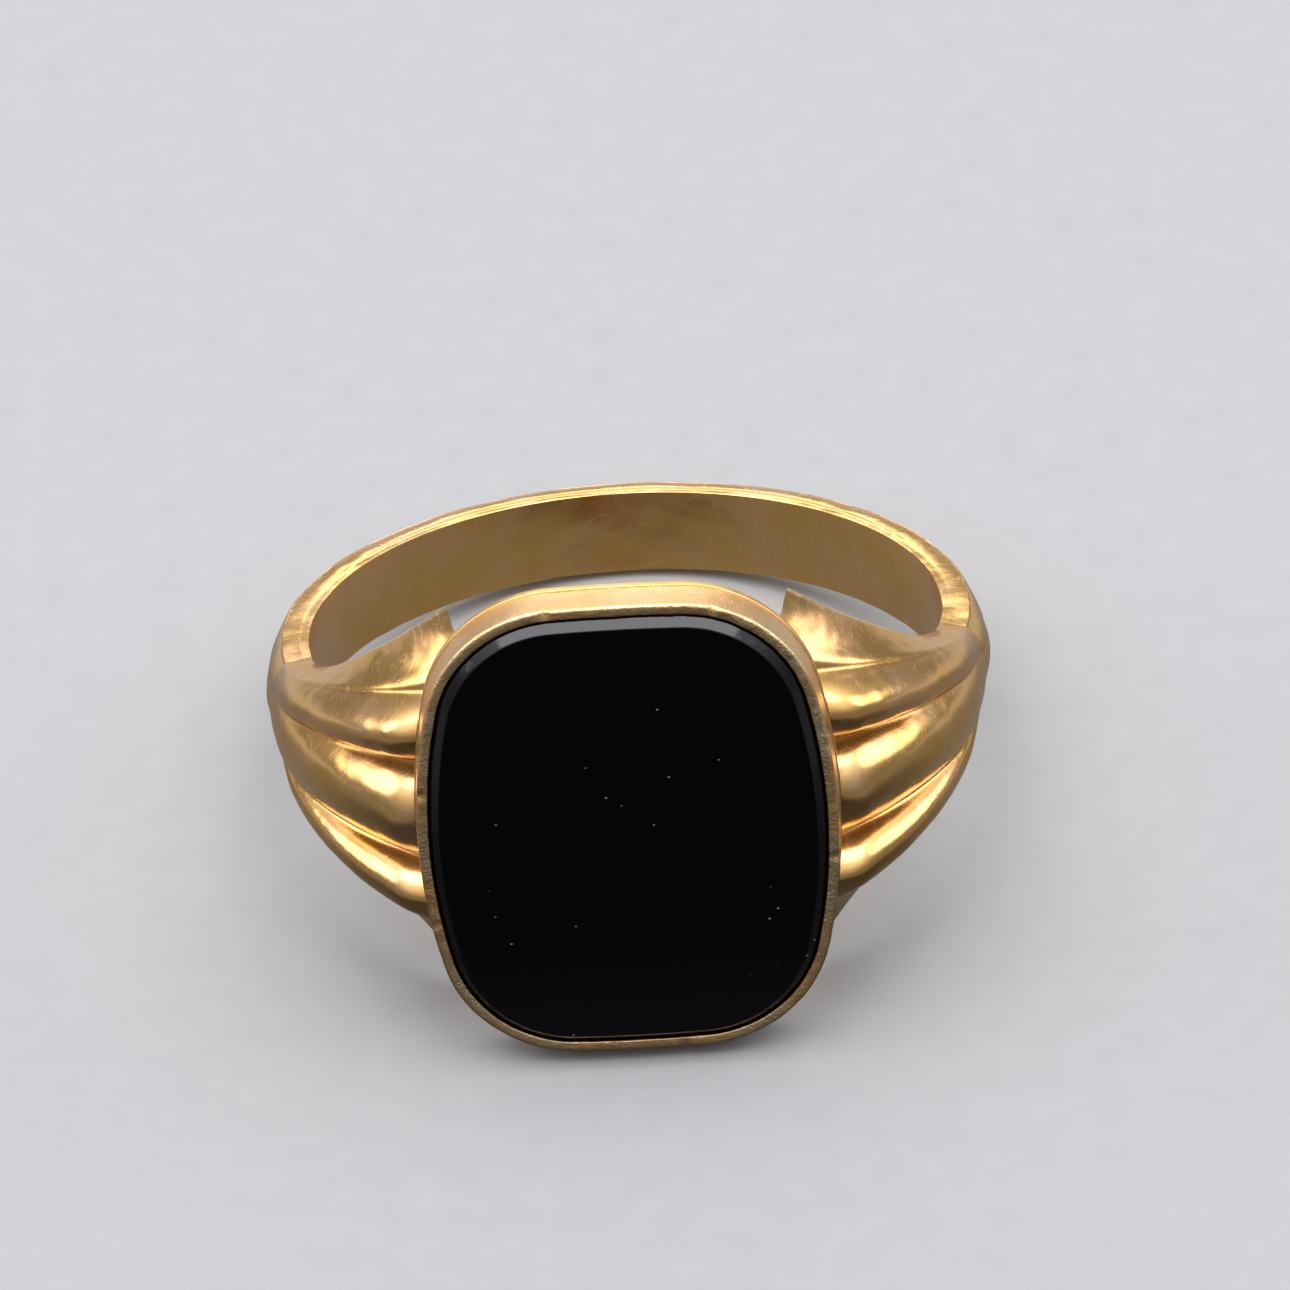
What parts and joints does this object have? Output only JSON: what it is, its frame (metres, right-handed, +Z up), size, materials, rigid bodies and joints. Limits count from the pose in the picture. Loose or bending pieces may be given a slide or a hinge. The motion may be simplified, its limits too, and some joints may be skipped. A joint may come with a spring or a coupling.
{
  "type": "signet ring",
  "caption": "Gold signet ring with fluted shoulders and a flat black onyx tablet, cushion shaped, in a rubbed-over closed-back setting on a plain narrow band.",
  "frame": {"origin": "middle of the ring's footprint, on the surface that it rests on", "axes": "+Z up, with the ring lying on its side; the tablet faces -Y and a little upwards, and X runs across the band"},
  "size_m": [0.0206, 0.0224, 0.0135],
  "materials": {
    "polished_gold": "worn polish with fine scratches",
    "brushed_gold": "satin, with fine diagonal file and rubbing marks",
    "inner_gold": "soft worn satin, a little tarnished",
    "onyx": "mirror polished black",
    "cement": "matt brown setter's cement"
  },
  "bodies": {
    "root": {"onyx_tablet": "onyx", "bedding_cement": "cement", "bearer_ring": "inner_gold", "collet_wall": "brushed_gold", "back_plate": "inner_gold", "shoulder_left": "polished_gold", "shoulder_right": "polished_gold", "shank": "polished_gold"}
  },
  "joints": []
}
